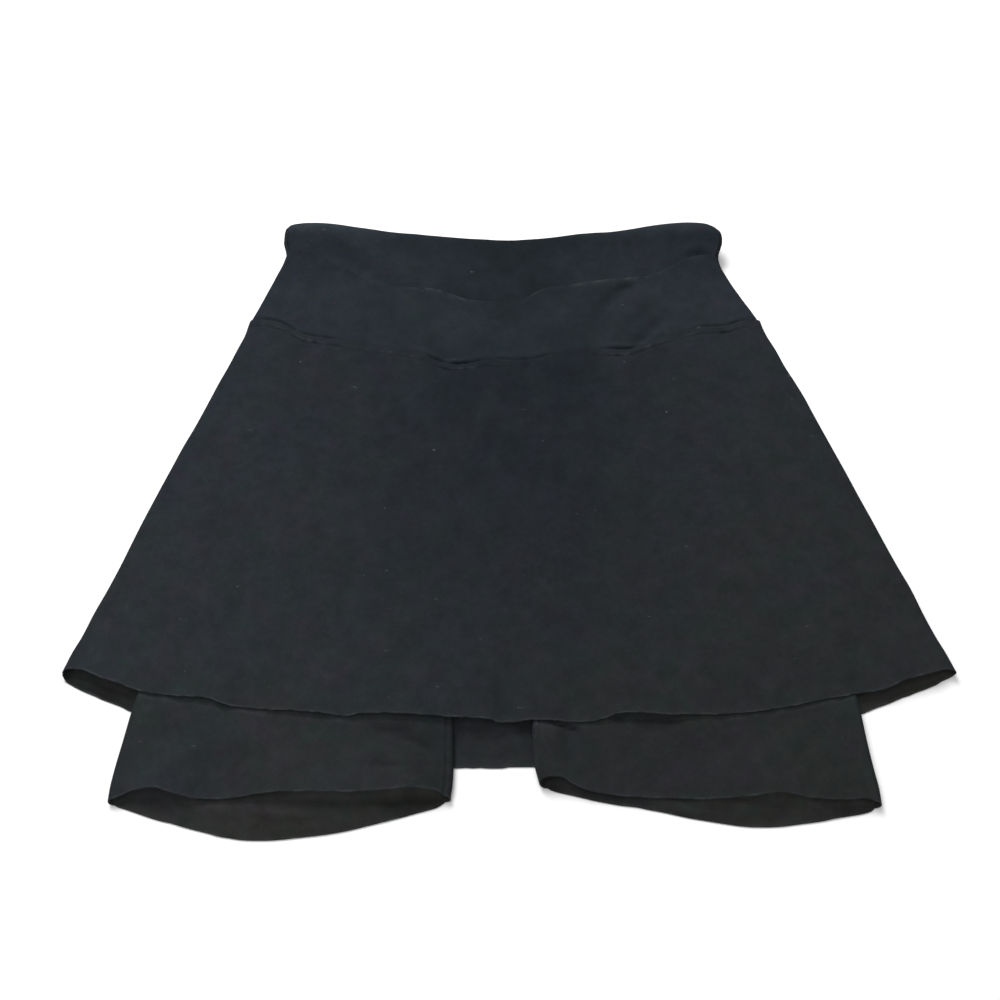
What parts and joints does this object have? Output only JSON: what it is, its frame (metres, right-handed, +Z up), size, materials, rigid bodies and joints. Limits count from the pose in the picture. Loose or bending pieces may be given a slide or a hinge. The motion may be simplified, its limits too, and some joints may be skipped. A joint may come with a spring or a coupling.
{
  "type": "tennis skort",
  "caption": "Flared knit skirt over knit shorts on a wide folded waistband, lying flat with its front up: waist and leg mouths open, soft waves in the hems.",
  "frame": {"origin": "middle of the laid garment's footprint, on the surface it lies on", "axes": "+X to the wearer's left, across the garment; +Y from the hem towards the waist; +Z up from the surface"},
  "size_m": [0.638, 0.511, 0.0217],
  "materials": {
    "waistband_jersey": "matte cotton and elastane jersey",
    "skirt_jersey": "matte cotton and elastane jersey",
    "shorts_jersey": "matte cotton and elastane jersey"
  },
  "bodies": {
    "root": {"waistband_front": "waistband_jersey", "waistband_back": "waistband_jersey", "skirt_front": "skirt_jersey", "skirt_back": "skirt_jersey", "shorts_right_front": "shorts_jersey", "shorts_right_back": "shorts_jersey", "shorts_left_front": "shorts_jersey", "shorts_left_back": "shorts_jersey"}
  },
  "joints": []
}
